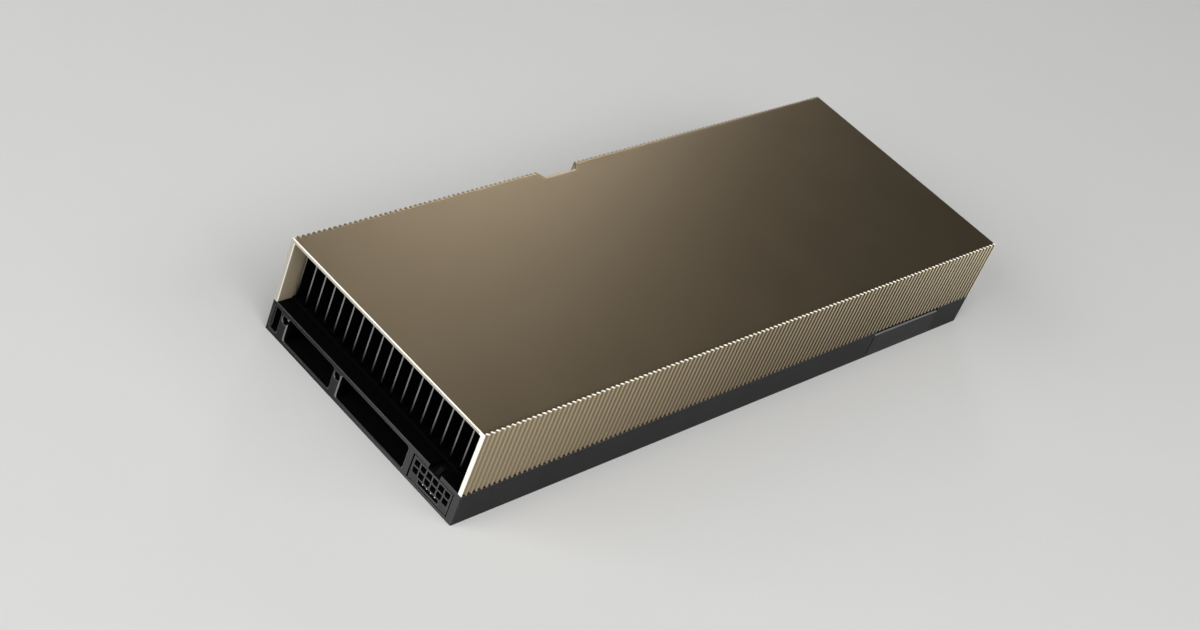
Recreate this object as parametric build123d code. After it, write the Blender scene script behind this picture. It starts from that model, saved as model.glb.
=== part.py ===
from build123d import *
import math
import os

# A passive accelerator card: full height, two slots high, cooled by the server's own air stream.
# +X runs from the open power end to the bracket end, +Y from the plain side to the edge tab, +Z up.
# The origin is the centre of the flat underside, without the edge tab. All sizes are in millimetres.

# Overall sizes
card_length = 266.7
card_width = 99.0
card_height = 38.6
frame_height = 12.6
frame_setback = 0.5

# Shroud
shroud_wall = 1.9
shroud_top = 1.5
rib_pitch = 2.168
rib_depth = 0.7
rib_facets = 6
rim_chamfer = 0.3

# Notch in the shroud's far edge, at distances from the bracket end
notch_start = 158.3
notch_floor_start = 156.8
notch_floor_end = 141.5
notch_end = 138.8
notch_depth = 3.6
notch_radius = 0.8

# Screw lugs of the shroud: the first on each side from the power end, the others from the bracket end
first_lug = 24.0
near_lugs = (174.7, 98.7, 10.7)
far_lugs = (174.7, 22.7)
lug_length = 8.0
lug_width = 4.3
lug_rise = 3.4
lug_screw_inset = 4.3

# Base frame
frame_wall = 1.8
end_panel = 1.0
bracket_panel = 1.5
deck_thickness = 1.7
deck_length = 14.0
deck_rail = 7.0
ledge_width = 2.8
ledge_thickness = 1.1
ledge_start = 15.5
frame_chamfer = 0.3

# End panel, at distances from the far side. The widest window ends at a distance from the near side.
window_sill = 1.6
wide_window_end = 25.7
window_spans = ((1.5, 5.2), (9.2, 34.0), (38.1, card_width - wide_window_end))
window_radius = 0.8
window_chamfer = 0.35
corner_flats = 2
extender_holes = (7.7, 36.25)
extender_hole_drop = 3.5
extender_hole_radius = 1.55
boss_width = 4.0
boss_depth = 4.5
latch_slot_width = 5.9
latch_slot_length = 9.0

# Bracket end, symmetrical about the middle. The outer vents end at a distance from the sides.
middle_vent_width = 23.0
outer_vent_offset = 19.5
outer_vent_margin = 8.0
bracket_hole_spacing = 31.0
bracket_hole_drop = 5.1
bracket_hole_radius = 1.25

# Link cover in the near side, at distances from the bracket end
link_start = 58.6
link_end = 18.6
link_sill = 1.3
link_cover_drop = 1.6
link_cover_thickness = 1.6
link_hook_height = 3.0
link_hook_reach = 1.0
link_bevel = 0.5

# Board and the plates under it
backplate_thickness = 1.2
film_thickness = 0.25
board_thickness = 1.57
board_start = 15.0
board_side_gap = 0.5
support_thickness = 0.8
support_margin = 3.0
support_window = 44.0

# Edge tab, with distances from the bracket end
tab_reach = 12.15
key_centre = 59.05
key_width = 1.9
key_depth = 8.25
tab_short = 11.65
tab_long = 71.65
tab_chamfer = 0.5
contact_pitch = 1.0
contact_width = 0.7
contact_length = 4.2
contact_setback = 1.3
contact_thickness = 0.04
link_contact_count = 14
link_contact_pitch = 2.4
link_contact_width = 1.6
link_contact_length = 2.2
link_contact_setback = 0.3
hook_gap = 3.0
hook_stem = 3.0
hook_toe = 4.5
hook_reach = 8.0
hook_foot = 3.0

# Heat sink
fin_count = 19
fin_pitch = 5.1
fin_thickness = 0.6
fin_setback = 5.8
sink_base_thickness = 1.2
sink_side_gap = 0.4
fin_top_gap = 0.3
spreader_thickness = 3.0
spreader_length = 140.0
spreader_side_gap = 2.5
pedestal_size = 46.0
post_spacing = 72.0
post_inset = 4.0
post_size = 6.0

# Processor, at a distance from the bracket end
processor_at = 116.7
processor_size = 60.0
substrate_thickness = 1.6
die_length = 26.0
die_width = 31.0
die_thickness = 0.8
memory_length = 11.0
memory_width = 8.0
memory_rows = 3
memory_pitch = 10.5
memory_gap = 0.6
package_rim = 4.0
package_rim_thickness = 0.7
interface_thickness = 0.1

# Power parts on the board
bank_offset = 64.0
bank_rows = 8
bank_pitch = 8.4
stage_step = 8.0
inductor_size = 6.4
inductor_height = 4.0
stage_size = 5.0
stage_height = 0.9
capacitor_length = 3.5
capacitor_width = 2.8
capacitor_height = 1.9
can_radius = 3.1
can_height = 6.8
can_count = 5
can_pitch = 8.2
can_at = 34.0
can_inset = 30.4

# Flat chips: distance from the power end or the bracket end, offset from the middle, length, width, height
power_chips = (
    (43.0, 4.0, 9.0, 9.0, 1.2),
    (43.0, -9.0, 8.0, 6.0, 1.0),
    (43.0, 18.0, 5.0, 5.0, 0.9),
)
bracket_chips = (
    (28.7, 6.0, 10.0, 10.0, 1.2),
    (16.7, -18.0, 6.0, 5.0, 1.0),
)

# Power socket, with its middle at a distance from the near side
socket_centre = 12.85
socket_width = 18.9
socket_sill = 1.35
socket_deck_gap = 0.5
socket_depth = 13.5
socket_setback = 0.2
socket_clearance = 0.35
cell_rows = 2
cell_columns = 6
cell_pitch = 3.0
cell_size = 2.55
cell_depth = 9.5
cell_clip = 0.6
upper_row_drop = 1.95
sense_slot_width = 10.2
sense_slot_height = 1.6
sense_slot_sill = 2.1
sense_slot_depth = 7.0
sense_count = 4
sense_pitch = 2.0
power_pin_size = 0.9
sense_pin_size = 0.45
latch_width = 1.7
latch_height = 1.9
latch_setback = 1.0
latch_length = 3.0
pin_setback = 2.5
pin_tail = 5.4
pin_tail_step = 2.2
sense_setback = 0.3
sense_foot = 0.9

# Screws and spacers. Small round parts that repeat have few sides.
round_side_count = 8
can_side_count = 10
recess_side_count = 6
screw_radius = 1.0
screw_head_radius = 1.9
screw_clearance = 0.2
screw_grip = 4.0
spacer_across = 4.5
spacer_side_count = 6
power_spacer = 50.0
bracket_spacer = 34.7
spacer_inset = 14.0
retention_radius = 1.25
retention_head_radius = 2.5
retention_head_gap = 0.2
driver_radius = 0.8
fit = 0.1

# Values worked out from the sizes above
power_end = -card_length / 2
bracket_end = card_length / 2
near_side = -card_width / 2
far_side = card_width / 2
frame_end = bracket_end - frame_setback
frame_inside = frame_end - bracket_panel
near_inside = near_side + frame_wall
far_inside = far_side - frame_wall
deck_bottom = frame_height - deck_thickness
window_top = deck_bottom
extender_hole_height = frame_height - extender_hole_drop
bracket_hole_height = frame_height - bracket_hole_drop
link_cover_top = frame_height - link_cover_drop
inner_top = card_height - shroud_top
board_bottom = backplate_thickness + ledge_thickness
board_top = board_bottom + board_thickness
board_near = near_inside + board_side_gap
board_far = far_inside - board_side_gap
board_end = frame_inside - board_side_gap
tab_tip = far_side + tab_reach
key_start = bracket_end - key_centre - key_width / 2
tab_start = key_start - tab_long
tab_end = key_start + key_width + tab_short
hook_end = tab_start - hook_gap
hook_start = hook_end - hook_stem
sink_base_top = frame_height + sink_base_thickness
fin_top = inner_top - fin_top_gap
processor_x = bracket_end - processor_at
substrate_top = board_top + substrate_thickness
die_top = substrate_top + die_thickness
pedestal_bottom = die_top + interface_thickness
spreader_bottom = frame_height - spreader_thickness
spreader_width = card_width - 2 * (deck_rail + spreader_side_gap)
post_reach_x = post_spacing / 2
post_reach_y = spreader_width / 2 - post_inset
inductor_top = board_top + inductor_height
support_bottom = backplate_thickness + film_thickness
socket_y = near_side + socket_centre
socket_top = deck_bottom - socket_deck_gap
upper_row = socket_top - upper_row_drop
socket_front = power_end + socket_setback
socket_back = socket_front + socket_depth
lug_gap = 3 * fit
lug_tip = frame_wall + lug_gap + lug_width
head_hole_radius = retention_head_radius + 4 * fit
outer_vent_end = far_side - outer_vent_margin
vent_spans = (
    (-outer_vent_end, -outer_vent_offset),
    (-middle_vent_width / 2, middle_vent_width / 2),
    (outer_vent_offset, outer_vent_end),
)


def block(x0, x1, y0, y1, z0, z1):
    """A rectangular block between two corners, given in any order."""
    size = (abs(x1 - x0), abs(y1 - y0), abs(z1 - z0))
    return Pos((x0 + x1) / 2, (y0 + y1) / 2, (z0 + z1) / 2) * Box(*size)


def chip(x, y, length, width, z0, height):
    """A flat block centred on a point of the plan."""
    return block(x - length / 2, x + length / 2, y - width / 2, y + width / 2, z0, z0 + height)


def rod(x, y, z0, z1, radius, sides=round_side_count):
    """An upright small round part, whose corners lie on its circle."""
    return Pos(x, y, z0) * extrude(RegularPolygon(radius, sides), z1 - z0)


def bore(x, y, z0, z1, radius):
    """An upright small hole, whose sides touch its circle."""
    return Pos(x, y, z0) * extrude(RegularPolygon(radius, round_side_count, major_radius=False), z1 - z0)


def row(count, pitch):
    """Offsets of evenly spaced places about a middle."""
    return [(index - (count - 1) / 2) * pitch for index in range(count)]


def group(pieces):
    """Several separate solids in one node."""
    return Compound(children=list(pieces))


def notch_plan(margin, radius):
    """Plan of the notch in the far edge, with its sides moved out by a margin and its corners rounded."""
    start_slope = (notch_start - notch_floor_start) / notch_depth
    end_slope = (notch_floor_end - notch_end) / notch_depth
    floor = far_side - notch_depth
    beyond = notch_depth
    plan = make_face(Polyline(
        (bracket_end - notch_start - start_slope * beyond, far_side + beyond),
        (bracket_end - notch_floor_start, floor),
        (bracket_end - notch_floor_end, floor),
        (bracket_end - notch_end + end_slope * beyond, far_side + beyond),
        close=True,
    ))
    if margin:
        plan = offset(plan, margin, kind=Kind.INTERSECTION)
    if radius:
        plan = fillet(plan.vertices().sort_by(Axis.Y)[:2], radius)
    return plan


def notch_block(margin, radius, z0, z1):
    """The notch as an upright block."""
    return Pos(0, 0, z0) * extrude(notch_plan(margin, radius), z1 - z0)


def lug_places():
    """Each lug screw's place, with the direction from its side wall to the middle."""
    places = []
    for side, inward, lugs in ((near_side, 1, near_lugs), (far_side, -1, far_lugs)):
        along = [power_end + first_lug] + [bracket_end - distance for distance in lugs]
        places += [(x, side + inward * lug_screw_inset, inward) for x in along]
    return places


def lug_zone(place, margin, inner, outer, z0, z1):
    """Block along a lug, from a depth inside its side to another, with a margin at both ends."""
    x, y, inward = place
    side = y - inward * lug_screw_inset
    half = lug_length / 2 + margin
    return block(x - half, x + half, side + inward * inner, side + inward * outer, z0, z1)


def spacer_places():
    """Each spacer between board and heat sink."""
    reach = far_side - spacer_inset
    return [(x, y) for x in (power_end + power_spacer, bracket_end - bracket_spacer) for y in (-reach, reach)]


def retention_places():
    """Each screw that pulls the heat spreader onto the processor."""
    return [(processor_x + i * post_reach_x, j * post_reach_y) for i in (-1, 1) for j in (-1, 1)]


def rib_points(side, inward):
    """Wavy outline of one long side, with a crest at both ends. Its depth follows one minus the cosine."""
    count = round(card_length / rib_pitch)
    steps = count * rib_facets
    points = []
    for step in range(steps + 1):
        phase = 2 * math.pi * step / rib_facets
        depth = rib_depth * (1 - math.cos(phase)) / 2
        points.append((power_end + card_length * step / steps, side + inward * depth))
    return points


def fluted_block():
    """Outside of the shroud as a solid block, with both long sides fluted from bottom to top."""
    outline = rib_points(near_side, 1) + rib_points(far_side, -1)[::-1]
    plan = make_face(Polyline(*outline, close=True))
    return Pos(0, 0, frame_height) * extrude(plan, card_height - frame_height)


def duct_space():
    """Inside of the shroud: a straight air duct, flared at both mouths and clear of the notch's wall."""
    width = card_width - 2 * shroud_wall
    height = inner_top - frame_height
    section = Pos(0, frame_height + height / 2) * Rectangle(width, height)
    flared = Pos(0, frame_height + height / 2) * Rectangle(width + 2 * rim_chamfer, height + 2 * rim_chamfer)
    duct = extrude(Plane.YZ.offset(power_end) * section, card_length)
    mouth = loft([Plane.YZ.offset(power_end) * flared, Plane.YZ.offset(power_end + rim_chamfer) * section])
    return duct + [mouth, mouth.mirror(Plane.YZ)] - notch_block(shroud_wall, 0, 0, card_height)


def rim_wedge():
    """Wedge that takes the sharp outer edge off the top at the power end."""
    profile = make_face(Polyline(
        (power_end, card_height - rim_chamfer),
        (power_end - rim_chamfer, card_height),
        (power_end, card_height + rim_chamfer),
        (power_end + rim_chamfer, card_height),
        close=True,
    ))
    return extrude(Plane.XZ * profile, card_width / 2, both=True)


def shroud_lug(place):
    """Lug inside the shroud's lower edge, that stands on the frame's ledge and takes a screw from below."""
    x, y, inward = place
    top = frame_height + lug_rise
    hanging = lug_zone(place, 0, frame_wall + lug_gap, lug_tip, board_bottom, top)
    joined = lug_zone(place, 0, shroud_wall / 2, lug_tip, frame_height, top)
    return hanging + joined - rod(x, y, board_bottom, board_bottom + 2 * screw_grip, screw_radius)


def shroud():
    """Gold cover: plain top, fluted sides, open ends with a cut rim, and a notch in the far edge."""
    wedge = rim_wedge()
    notch = notch_block(0, notch_radius, 0, 2 * card_height)
    cover = fluted_block() - [duct_space(), notch, wedge, wedge.mirror(Plane.YZ)]
    return cover + [shroud_lug(place) for place in lug_places()]


def window_outline(u0, u1, margin):
    """Outline of a window, moved out by a margin. Each corner is rounded by a few flats."""
    radius = window_radius + margin
    reach_y = (u1 - u0) / 2 - window_radius
    reach_z = (window_top - window_sill) / 2 - window_radius
    points = []
    for quarter, (side_y, side_z) in enumerate(((1, 1), (-1, 1), (-1, -1), (1, -1))):
        for step in range(corner_flats + 1):
            angle = math.pi / 2 * (quarter + step / corner_flats)
            y = side_y * reach_y + radius * math.cos(angle)
            z = side_z * reach_z + radius * math.sin(angle)
            points.append((y, z))
    middle = Pos(far_side - (u0 + u1) / 2, (window_sill + window_top) / 2)
    return middle * make_face(Polyline(*points, close=True))


def panel_window(u0, u1):
    """Window through the power end panel, with a chamfer round its outer edge."""
    outline = window_outline(u0, u1, 0)
    flared = window_outline(u0, u1, window_chamfer)
    hole = extrude(Plane.YZ.offset(power_end) * outline, end_panel)
    flare = loft([Plane.YZ.offset(power_end) * flared, Plane.YZ.offset(power_end + window_chamfer) * outline])
    return hole + flare


def exhaust_vent(y0, y1):
    """Plain vent through the bracket end of the frame, above the board."""
    return block(frame_inside, frame_end, y0, y1, board_top, window_top)


def side_hole(x0, x1, y, z, radius):
    """A round hole along the card."""
    return Pos((x0 + x1) / 2, y, z) * Rot(0, 90, 0) * Cylinder(radius, x1 - x0)


def extender_boss(u):
    """Thick column behind the power end panel."""
    y = far_side - u
    half = boss_width / 2
    return block(power_end, power_end + end_panel + boss_depth, y - half, y + half, window_sill, deck_bottom)


def bracket_boss(y):
    """Thick column inside the bracket end panel, above the board."""
    half = boss_width / 2
    return block(frame_inside - boss_depth, frame_end, y - half, y + half, board_top + lug_gap, deck_bottom)


def socket_opening():
    """Opening for the socket's housing, with the slot in the deck for the latch of the plug."""
    half = socket_width / 2 + socket_clearance
    high = socket_top + socket_clearance
    low = socket_sill - socket_clearance
    opening = block(power_end, power_end + end_panel, socket_y - half, socket_y + half, low, high)
    half_slot = latch_slot_width / 2
    slot = block(power_end, power_end + latch_slot_length, socket_y - half_slot, socket_y + half_slot,
                 high - fit, frame_height)
    return opening + slot


def frame_shell():
    """Walls and deck of the base frame, open underneath and in the middle of the deck."""
    outer = block(power_end, frame_end, near_side, far_side, 0, frame_height)
    outer = chamfer(outer.edges().filter_by(Axis.Z), frame_chamfer)
    outer = outer - notch_block(0, notch_radius, 0, frame_height)
    hollow = block(power_end + end_panel, frame_inside, near_inside, far_inside, 0, deck_bottom)
    hollow = hollow - notch_block(frame_wall, 0, 0, frame_height)
    near_rail = near_side + deck_rail
    far_rail = far_side - deck_rail
    start = power_end + deck_length
    well = block(start, frame_end - deck_length, near_rail, far_rail, deck_bottom, frame_height)
    return outer - hollow - well


def frame_ledge(inward):
    """Ledge along one side that carries the board, with a forked pad under every lug."""
    wall = near_inside if inward > 0 else far_inside
    tip = wall + inward * ledge_width
    ledge = block(power_end + ledge_start, frame_inside, wall, tip, backplate_thickness, board_bottom)
    half = screw_radius + screw_clearance
    for place in lug_places():
        x, y, direction = place
        if direction == inward:
            pad = lug_zone(place, 0, frame_wall, lug_tip, backplate_thickness, board_bottom)
            open_end = y + inward * lug_width
            fork = block(x - half, x + half, y - inward * half, open_end, backplate_thickness, board_bottom)
            ledge = ledge + pad - fork
    return ledge


def tab_slot():
    """Slot in the far wall for the board's edge tab and hook."""
    return block(hook_start - 2 * fit, tab_end + 2 * fit, far_inside, far_side,
                 board_bottom - 2 * fit, board_top + 2 * fit)


def link_gap():
    """Opening in the near side for the link cover, with the ledge cut away behind it."""
    x0 = bracket_end - link_start
    x1 = bracket_end - link_end
    wall = block(x0, x1, near_side, near_inside, link_sill, frame_height)
    ledge = block(x0, x1, near_inside, near_inside + ledge_width, backplate_thickness, board_bottom)
    return wall + ledge


def base_frame():
    """Dark frame: pierced end panel, plain near side, deck under the fins, ledges for the board."""
    added = [frame_ledge(1), frame_ledge(-1)]
    added += [extender_boss(u) for u in extender_holes]
    added += [bracket_boss(y) for y in row(2, bracket_hole_spacing)]
    cuts = [link_gap(), tab_slot(), socket_opening()]
    cuts += [panel_window(u0, u1) for u0, u1 in window_spans]
    cuts += [exhaust_vent(y0, y1) for y0, y1 in vent_spans]
    for u in extender_holes:
        deep = power_end + boss_depth
        cuts.append(side_hole(power_end, deep, far_side - u, extender_hole_height, extender_hole_radius))
    for y in row(2, bracket_hole_spacing):
        deep = frame_end - boss_depth
        cuts.append(side_hole(deep, frame_end, y, bracket_hole_height, bracket_hole_radius))
    for place in lug_places():
        cuts.append(lug_zone(place, 2 * fit, frame_wall, deck_rail, deck_bottom, frame_height))
    return frame_shell() + added - cuts


def link_cover():
    """Small snap-in cover with a bevelled top lip and a hook at each end."""
    x0 = bracket_end - link_start + 2 * fit
    x1 = bracket_end - link_end - 2 * fit
    back = near_side + link_cover_thickness
    cover = block(x0, x1, near_side, back, link_sill, link_cover_top)
    lip = cover.edges().filter_by(Axis.X).group_by(Axis.Z)[-1].sort_by(Axis.Y)[0]
    cover = chamfer(lip, link_bevel)
    inside = near_inside + fit
    low = board_top + link_hook_height / 2
    high = low + link_hook_height
    for x, outward in ((x0, -1), (x1, 1)):
        root = x - outward * link_hook_height
        tip = x + outward * link_hook_reach
        cover = cover + block(x, root, back, inside + link_cover_thickness, low, high)
        cover = cover + block(tip, root, inside, inside + link_cover_thickness, low, high)
    return cover


def countersink(x, y):
    """Space for a countersunk screw in the backplate."""
    mouth = RegularPolygon(screw_head_radius + fit, round_side_count, major_radius=False)
    throat = RegularPolygon(screw_radius + fit, round_side_count, major_radius=False)
    return loft([Pos(x, y, 0) * mouth, Pos(x, y, backplate_thickness) * throat])


def backplate():
    """Flat plate that closes the underside, with countersunk holes and four clearance holes."""
    start = power_end + end_panel + fit
    plate = block(start, frame_inside - fit, near_inside + fit, far_inside - fit, 0, backplate_thickness)
    cuts = [notch_block(frame_wall + fit, 0, 0, backplate_thickness)]
    cuts += [countersink(x, y) for x, y, inward in lug_places()]
    cuts += [bore(x, y, 0, backplate_thickness, head_hole_radius) for x, y in retention_places()]
    return plate - cuts


def insulating_film():
    """Thin film between backplate and board, inside the ledges."""
    near = near_side + lug_tip + 2 * fit
    far = far_side - lug_tip - 2 * fit
    film = block(power_end + ledge_start, frame_inside - fit, near, far, backplate_thickness, support_bottom)
    cuts = [bore(x, y, backplate_thickness, support_bottom, head_hole_radius) for x, y in retention_places()]
    return film - cuts


def tab_plan():
    """Plan of the edge tab with its key slot."""
    middle = Pos((tab_start + tab_end) / 2, (board_far + tab_tip) / 2)
    key = Pos(key_start + key_width / 2, tab_tip - key_depth / 2) * Rectangle(key_width, key_depth)
    return middle * Rectangle(tab_end - tab_start, tab_tip - board_far) - key


def hook_plan():
    """Plan of the hook beside the edge tab, that the slot's latch holds."""
    tip = far_side + hook_reach
    return make_face(Polyline(
        (hook_end, board_far),
        (hook_end, tip),
        (hook_start - hook_toe, tip),
        (hook_start - hook_toe, tip - hook_foot),
        (hook_start, tip - hook_foot),
        (hook_start, board_far),
        close=True,
    ))


def circuit_board():
    """The board: body with gaps for the lugs, bevelled edge tab, hook, and holes for the retention screws."""
    body = block(power_end + board_start, board_end, board_near, board_far, board_bottom, board_top)
    body = body - notch_block(frame_wall + board_side_gap, 0, board_bottom, board_top)
    tab = Pos(0, 0, board_bottom) * extrude(tab_plan(), board_thickness)
    lead = tab.edges().filter_by(Axis.X).group_by(Axis.Y)[-1]
    tab = chamfer(lead, tab_chamfer)
    hook = Pos(0, 0, board_bottom) * extrude(hook_plan(), board_thickness)
    cuts = [lug_zone(place, 2 * fit, 0, lug_tip + 2 * fit, board_bottom, board_top) for place in lug_places()]
    radius = retention_radius + screw_clearance
    cuts += [bore(x, y, board_bottom, board_top, radius) for x, y in retention_places()]
    return body + [tab, hook] - cuts


def edge_contacts():
    """Gold contacts on both faces of the edge tab."""
    contacts = []
    tip = tab_tip - contact_setback
    root = tip - contact_length
    for start, length in ((tab_start, tab_long), (key_start + key_width, tab_short)):
        count = int(length / contact_pitch)
        first = start + (length - (count - 1) * contact_pitch) / 2
        for index in range(count):
            x0 = first + index * contact_pitch - contact_width / 2
            x1 = x0 + contact_width
            contacts.append(block(x0, x1, root, tip, board_top, board_top + contact_thickness))
            contacts.append(block(x0, x1, root, tip, board_bottom - contact_thickness, board_bottom))
    return group(contacts)


def link_contacts():
    """Gold contacts on the board's near edge, behind the link cover."""
    y = board_near + link_contact_setback + link_contact_length / 2
    middle = bracket_end - (link_start + link_end) / 2
    return group(chip(middle + x, y, link_contact_width, link_contact_length, board_top, contact_thickness)
                 for x in row(link_contact_count, link_contact_pitch))


def sink_spaces(z0, z1):
    """Spaces that the heat sink leaves free: the shroud's lugs and the notch."""
    top = min(z1, frame_height + lug_rise + lug_gap)
    spaces = [lug_zone(place, lug_gap, 0, lug_tip + lug_gap, z0, top) for place in lug_places()]
    return spaces + [notch_block(shroud_wall + sink_side_gap, 0, z0, z1)]


def heat_sink_base():
    """Plate on the frame's deck that carries the fins."""
    gap = shroud_wall + sink_side_gap
    plate = block(power_end + fin_setback, bracket_end - fin_setback, near_side + gap, far_side - gap,
                  frame_height, sink_base_top)
    return plate - sink_spaces(frame_height, sink_base_top)


def fin_at(y):
    """One upright fin along the air stream."""
    return chip(0, y, card_length - 2 * fin_setback, fin_thickness, sink_base_top, fin_top - sink_base_top)


def heat_sink_fins():
    """Plain fins, all but the outermost two."""
    return group(fin_at(y) for y in row(fin_count, fin_pitch)[1:-1])


def side_fins():
    """The two outermost fins, cut round the lugs and the notch."""
    fins = []
    for y in row(fin_count, fin_pitch)[::fin_count - 1]:
        cut = fin_at(y) - sink_spaces(sink_base_top, card_height)
        fins.extend(cut.solids())
    return group(fins)


def heat_spreader():
    """Copper vapour chamber with a pedestal for the processor and four tapped posts."""
    chamber = chip(processor_x, 0, spreader_length, spreader_width, spreader_bottom, spreader_thickness)
    pedestal_height = spreader_bottom - pedestal_bottom
    added = [chip(processor_x, 0, pedestal_size, pedestal_size, pedestal_bottom, pedestal_height)]
    post_height = spreader_bottom - board_top
    added += [chip(x, y, post_size, post_size, board_top, post_height) for x, y in retention_places()]
    taps = [rod(x, y, board_top, spreader_bottom, retention_radius) for x, y in retention_places()]
    return chamber + added - taps


def thermal_pads():
    """Soft pads between the inductors and the heat spreader."""
    length = (bank_rows - 1) * bank_pitch + inductor_size
    height = spreader_bottom - inductor_top
    return group(chip(processor_x + side * bank_offset, 0, inductor_size, length, inductor_top, height)
                 for side in (-1, 1))


def thermal_interface():
    """Thin sheet between the processor and the pedestal."""
    return chip(processor_x, 0, pedestal_size, pedestal_size, die_top, interface_thickness)


def processor_substrate():
    """Carrier of the processor."""
    return chip(processor_x, 0, processor_size, processor_size, board_top, substrate_thickness)


def processor_die():
    """Bare processor die."""
    return chip(processor_x, 0, die_length, die_width, substrate_top, die_thickness)


def memory_stacks():
    """Memory stacks on both sides of the die."""
    step = die_length / 2 + memory_gap + memory_length / 2
    return group(chip(processor_x + side * step, y, memory_length, memory_width, substrate_top, die_thickness)
                 for side in (-1, 1) for y in row(memory_rows, memory_pitch))


def package_frame():
    """Stiffening ring round the processor's carrier."""
    ring = chip(processor_x, 0, processor_size, processor_size, substrate_top, package_rim_thickness)
    inner = processor_size - 2 * package_rim
    return ring - chip(processor_x, 0, inner, inner, substrate_top, package_rim_thickness)


def bank(step, length, width, height):
    """One column of like parts on each side of the processor."""
    return group(chip(processor_x + side * (bank_offset + step), y, length, width, board_top, height)
                 for side in (-1, 1) for y in row(bank_rows, bank_pitch))


def inductors():
    """Power inductors."""
    return bank(0, inductor_size, inductor_size, inductor_height)


def power_stages():
    """Flat power stages, on the outer side of the inductors."""
    return bank(stage_step, stage_size, stage_size, stage_height)


def capacitors():
    """Flat output capacitors, on the processor's side of the inductors."""
    return bank(-stage_step, capacitor_length, capacitor_width, capacitor_height)


def input_capacitors():
    """Round input capacitors behind the power socket."""
    x = power_end + can_at
    middle = near_side + can_inset
    top = board_top + can_height
    return group(rod(x, middle + y, board_top, top, can_radius, can_side_count)
                 for y in row(can_count, can_pitch))


def control_chips():
    """Controllers and small logic on the board."""
    placed = [(power_end + distance, *rest) for distance, *rest in power_chips]
    placed += [(bracket_end - distance, *rest) for distance, *rest in bracket_chips]
    return group(chip(x, y, length, width, board_top, height) for x, y, length, width, height in placed)


def support_plate():
    """Spring plate behind the processor, forked round the retention screws at its corners."""
    length = 2 * (post_reach_x + support_margin)
    width = 2 * (post_reach_y + support_margin)
    plate = chip(processor_x, 0, length, width, support_bottom, support_thickness)
    cuts = [chip(processor_x, 0, support_window, support_window, support_bottom, support_thickness)]
    half = retention_radius + fit
    for x, y in retention_places():
        outward = math.copysign(1, x - processor_x)
        cuts.append(block(x - outward * half, processor_x + outward * length, y - half, y + half,
                          support_bottom, board_bottom))
    return plate - cuts


def board_spacers():
    """Six-sided spacers between the board and the heat sink's base plate."""
    outline = RegularPolygon(spacer_across / 2, spacer_side_count, major_radius=False)
    height = frame_height - board_top
    return group(Pos(x, y, board_top) * extrude(outline, height) for x, y in spacer_places())


def cell_places():
    """Level, column and centre of each of the socket's cavities, from the upper row down."""
    return [(level, column, socket_y + y, upper_row - level * cell_pitch)
            for level in range(cell_rows) for column, y in enumerate(row(cell_columns, cell_pitch))]


def sense_places():
    """Centre of each sense pin."""
    z = sense_slot_sill + sense_slot_height - sense_pin_size
    return [(socket_y + y, z) for y in row(sense_count, sense_pitch)]


def cell_cut(y, z, clipped):
    """One cavity of the socket: square, or with its two lower corners clipped."""
    outline = Rectangle(cell_size, cell_size)
    if clipped:
        outline = chamfer(outline.vertices().sort_by(Axis.Y)[:2], cell_clip)
    return extrude(Plane.YZ.offset(socket_front) * Pos(y, z) * outline, cell_depth)


def pin_bar(x0, x1, y, z, size):
    """A square bar along the card."""
    half = size / 2
    return block(x0, x1, y - half, y + half, z - half, z + half)


def latch_ramp():
    """Ramp on top of the housing, that the plug's latch snaps over."""
    start = socket_front + latch_setback
    peak = socket_top + latch_height
    outline = make_face(Polyline(
        (start, socket_top),
        (start + latch_height, peak),
        (start + latch_length, peak),
        (start + latch_length, socket_top),
        close=True,
    ))
    return Pos(0, socket_y, 0) * extrude(Plane.XZ * outline, latch_width / 2, both=True)


def power_socket():
    """Socket housing with keyed cavities, the sense slot, pin passages and the latch ramp."""
    half = socket_width / 2
    housing = block(socket_front, socket_back, socket_y - half, socket_y + half, socket_sill, socket_top)
    half_slot = sense_slot_width / 2
    cuts = [block(socket_front, socket_front + sense_slot_depth, socket_y - half_slot, socket_y + half_slot,
                  sense_slot_sill, sense_slot_sill + sense_slot_height)]
    for level, column, y, z in cell_places():
        cuts.append(cell_cut(y, z, (level + column) % 2 == 0))
        cuts.append(pin_bar(socket_front, socket_back, y, z, power_pin_size + fit))
    for y, z in sense_places():
        cuts.append(pin_bar(socket_front, socket_back, y, z, sense_pin_size + fit))
    return housing - cuts + latch_ramp()


def power_pins():
    """Square power pins, bent down to the board behind the housing."""
    pins = []
    half = power_pin_size / 2
    for level, column, y, z in cell_places():
        tail = socket_back + pin_tail - level * pin_tail_step
        pin = pin_bar(socket_front + pin_setback, tail + half, y, z, power_pin_size)
        leg = block(tail - half, tail + half, y - half, y + half, board_top, z)
        pins.append(pin + leg)
    return group(pins)


def sense_pins():
    """Fine sense pins, stepped up onto the board behind the housing."""
    pins = []
    half = sense_pin_size / 2
    bend = socket_back + 2 * fit
    foot_end = power_end + board_start + sense_foot
    for y, z in sense_places():
        pin = pin_bar(socket_front + sense_setback, bend + sense_pin_size, y, z, sense_pin_size)
        riser = block(bend, bend + sense_pin_size, y - half, y + half, z, board_top + sense_pin_size)
        foot = block(bend, foot_end, y - half, y + half, board_top, board_top + sense_pin_size)
        pins.append(pin + riser + foot)
    return group(pins)


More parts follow.
